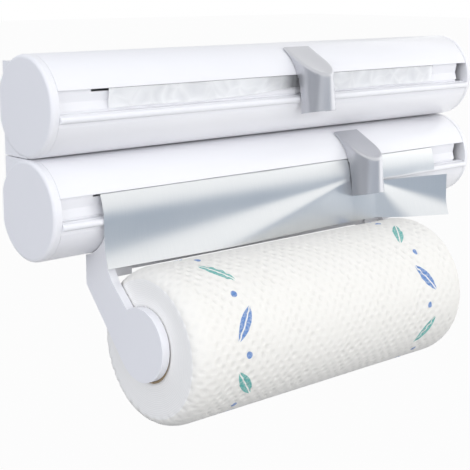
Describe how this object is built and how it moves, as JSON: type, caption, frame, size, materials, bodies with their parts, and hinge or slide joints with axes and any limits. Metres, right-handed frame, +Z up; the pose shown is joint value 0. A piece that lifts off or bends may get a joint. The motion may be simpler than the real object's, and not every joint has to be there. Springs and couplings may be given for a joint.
{
  "type": "wall-mounted kitchen roll holder",
  "caption": "Wall-mounted holder with round white film and foil dispensers one above the other, sliding cutters on their fronts, and arms below that carry a kitchen paper roll.",
  "frame": {"origin": "on the wall plane, midway between the two wall screw holes", "axes": "+X to the right along the housings, +Y into the wall, +Z up"},
  "size_m": [0.3764, 0.135, 0.2176],
  "materials": {
    "white_plastic": "glossy",
    "grey_plastic": "satin",
    "dark_plastic": "matte",
    "blade_steel": "ground",
    "screw_steel": "satin",
    "plate_plastic": "matte",
    "cling_film": "clear film",
    "aluminium_foil": "satin",
    "core_board": "matte",
    "tissue_paper": "embossed"
  },
  "bodies": {
    "holder": {"wall_plate": "plate_plastic", "housing_screws": "screw_steel", "upper_trough": "white_plastic", "upper_lid": "white_plastic", "upper_cutting_bar": "white_plastic", "upper_left_cap": "white_plastic", "film_sheet": "cling_film", "lower_trough": "white_plastic", "lower_lid": "white_plastic", "lower_cutting_bar": "white_plastic", "lower_left_cap": "white_plastic", "foil_sheet": "aluminium_foil", "arm_rail": "white_plastic", "rail_screws": "screw_steel", "left_arm": "white_plastic", "left_arm_screw": "screw_steel", "left_hub": "white_plastic", "left_hub_screw": "screw_steel"},
    "upper_cutter": {"upper_slider": "grey_plastic", "upper_blade_carriage": "dark_plastic", "upper_blade": "blade_steel"},
    "lower_cutter": {"lower_slider": "grey_plastic", "lower_blade_carriage": "dark_plastic", "lower_blade": "blade_steel"},
    "film_supply": {"film_core": "core_board", "film_roll": "cling_film"},
    "foil_supply": {"foil_core": "core_board", "foil_roll": "aluminium_foil"},
    "upper_end_cap": {"upper_right_cap": "white_plastic"},
    "lower_end_cap": {"lower_right_cap": "white_plastic"},
    "sliding_arm": {"right_arm": "white_plastic", "right_hub": "white_plastic", "right_hub_screw": "screw_steel"},
    "paper_roll": {"kitchen_core": "core_board", "kitchen_roll": "tissue_paper"}
  },
  "joints": [
    {"name": "upper_cutter_slide", "type": "slide", "parent": "holder", "child": "upper_cutter", "axis": [1, 0, 0], "range_m": [-0.184, 0.153]},
    {"name": "lower_cutter_slide", "type": "slide", "parent": "holder", "child": "lower_cutter", "axis": [1, 0, 0], "range_m": [-0.2335, 0.1035], "deforming": ["foil_sheet"]},
    {"name": "film_spin", "type": "hinge", "parent": "holder", "child": "film_supply", "pos_m": [0, -0.0275, 0.0219], "axis": [1, 0, 0], "continuous": true},
    {"name": "foil_spin", "type": "hinge", "parent": "holder", "child": "foil_supply", "pos_m": [0, -0.0275, -0.0387], "axis": [1, 0, 0], "continuous": true},
    {"name": "upper_cap_pull", "type": "slide", "parent": "holder", "child": "upper_end_cap", "axis": [1, 0, 0], "range_m": [0, 0.02]},
    {"name": "lower_cap_pull", "type": "slide", "parent": "holder", "child": "lower_end_cap", "axis": [1, 0, 0], "range_m": [0, 0.02]},
    {"name": "arm_slide", "type": "slide", "parent": "holder", "child": "sliding_arm", "axis": [1, 0, 0], "range_m": [0, 0.05]},
    {"name": "paper_spin", "type": "hinge", "parent": "holder", "child": "paper_roll", "pos_m": [0, -0.0875, -0.1088], "axis": [1, 0, 0], "continuous": true}
  ]
}
